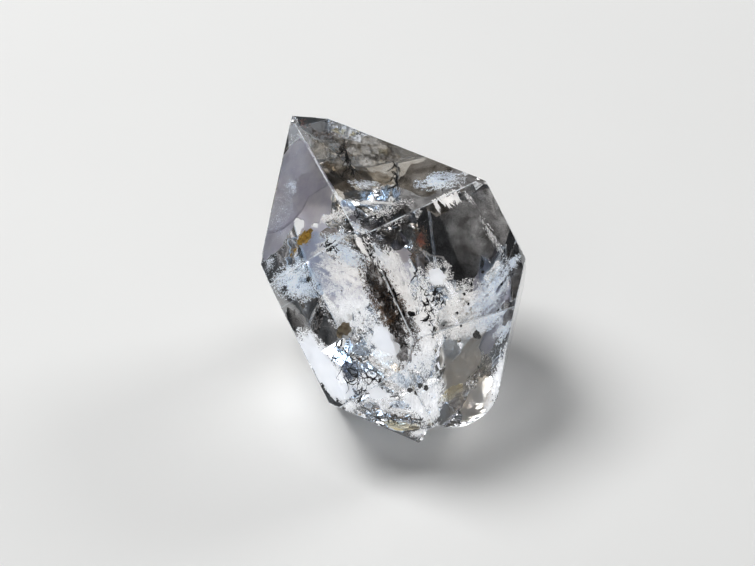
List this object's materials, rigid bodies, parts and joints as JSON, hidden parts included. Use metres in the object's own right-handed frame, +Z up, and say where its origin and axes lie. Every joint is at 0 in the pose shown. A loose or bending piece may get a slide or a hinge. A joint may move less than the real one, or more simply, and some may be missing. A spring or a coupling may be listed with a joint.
{
  "type": "petroleum quartz crystal",
  "caption": "Small doubly terminated petroleum quartz crystal, water clear with dark specks, amber drops and milky veils, one point broken off, lying on a pyramid face.",
  "frame": {"origin": "middle of the bounding box's underside, on the surface that the crystal lies on", "axes": "+Z up from the surface; -Y towards the viewer of the picture, with the two front prism faces; +X to the viewer's right"},
  "size_m": [0.012, 0.013, 0.0104],
  "materials": {
    "clear_quartz": "natural crystal faces, glossy and clear",
    "bitumen": "black, waxy",
    "amber_oil": "amber to olive, wet",
    "milky_veil": "white to bluish, fine grained"
  },
  "bodies": {
    "root": {"quartz_crystal": "clear_quartz"}
  },
  "joints": []
}
